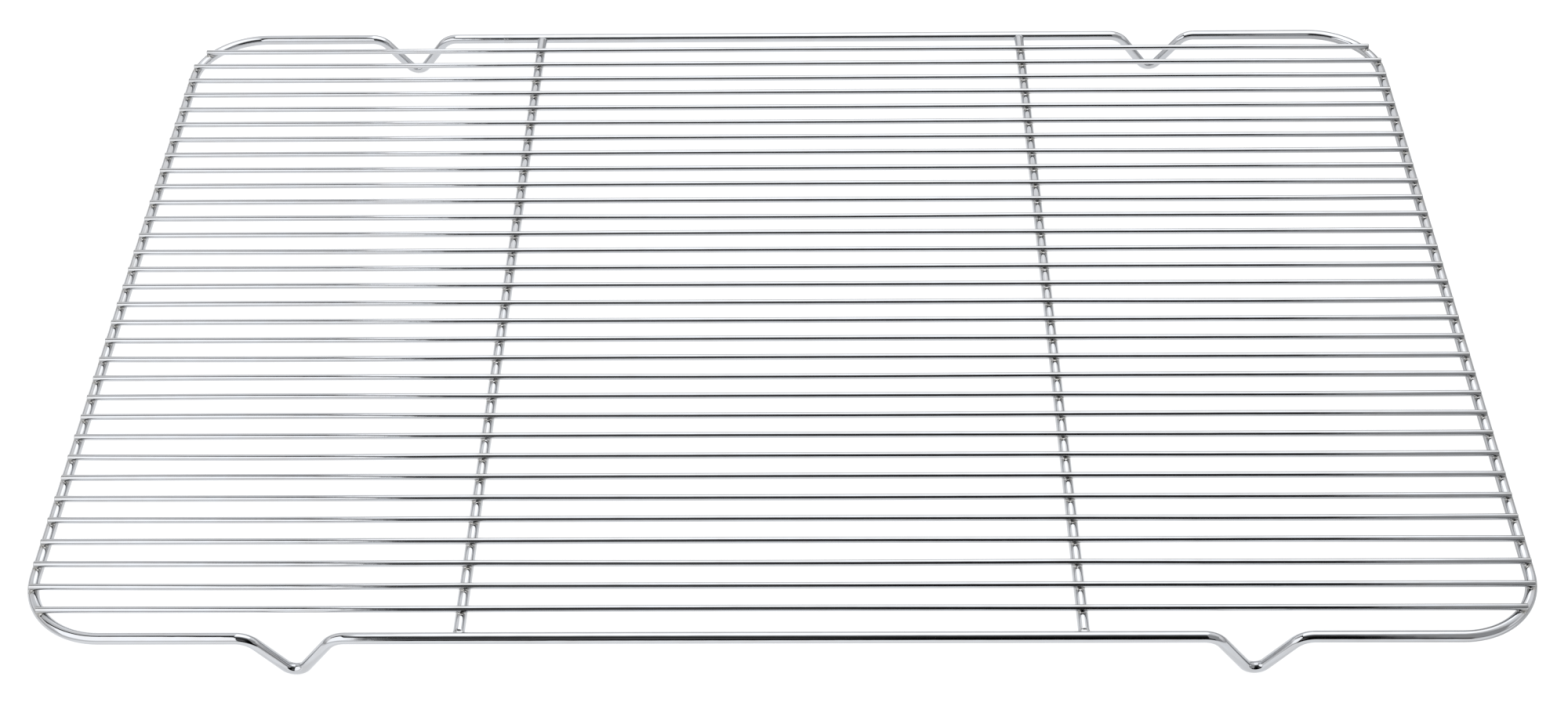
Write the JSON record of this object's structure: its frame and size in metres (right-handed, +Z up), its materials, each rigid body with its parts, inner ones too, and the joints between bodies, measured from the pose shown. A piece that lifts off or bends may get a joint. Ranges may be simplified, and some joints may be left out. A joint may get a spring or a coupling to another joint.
{
  "type": "cooling rack",
  "caption": "Rectangular welded wire cooling rack: parallel thin wires on a thick bent frame wire with rounded corners, two cross ribs and V-bent feet",
  "frame": {"origin": "middle of the overall length and width, on the plane that the four feet stand on", "axes": "+X along the grid wires (the long way), +Y across them toward the side with the frame's butt weld, +Z up"},
  "size_m": [0.622, 0.4192, 0.0262],
  "materials": {
    "frame_chrome": "bright nickel-chrome plating on heavy round steel wire",
    "grid_chrome": "bright nickel-chrome plating on thin round steel wire",
    "weld_chrome": "plated over rough resistance-weld metal, duller than the wire"
  },
  "bodies": {
    "root": {"frame_wire": "frame_chrome", "frame_butt_weld": "weld_chrome", "rib_left": "frame_chrome", "rib_right": "frame_chrome", "rib_end_welds": "weld_chrome", "grid_wire_01": "grid_chrome", "grid_wire_02": "grid_chrome", "grid_wire_03": "grid_chrome", "grid_wire_04": "grid_chrome", "grid_wire_05": "grid_chrome", "grid_wire_06": "grid_chrome", "grid_wire_07": "grid_chrome", "grid_wire_08": "grid_chrome", "grid_wire_09": "grid_chrome", "grid_wire_10": "grid_chrome", "grid_wire_11": "grid_chrome", "grid_wire_12": "grid_chrome", "grid_wire_13": "grid_chrome", "grid_wire_14": "grid_chrome", "grid_wire_15": "grid_chrome", "grid_wire_16": "grid_chrome", "grid_wire_17": "grid_chrome", "grid_wire_18": "grid_chrome", "grid_wire_19": "grid_chrome", "grid_wire_20": "grid_chrome", "grid_wire_21": "grid_chrome", "grid_wire_22": "grid_chrome", "grid_wire_23": "grid_chrome", "grid_wire_24": "grid_chrome", "grid_wire_25": "grid_chrome", "grid_wire_26": "grid_chrome", "grid_wire_27": "grid_chrome", "grid_wire_28": "grid_chrome", "grid_wire_29": "grid_chrome", "grid_wire_30": "grid_chrome", "grid_wire_31": "grid_chrome", "grid_wire_32": "grid_chrome"}
  },
  "joints": []
}
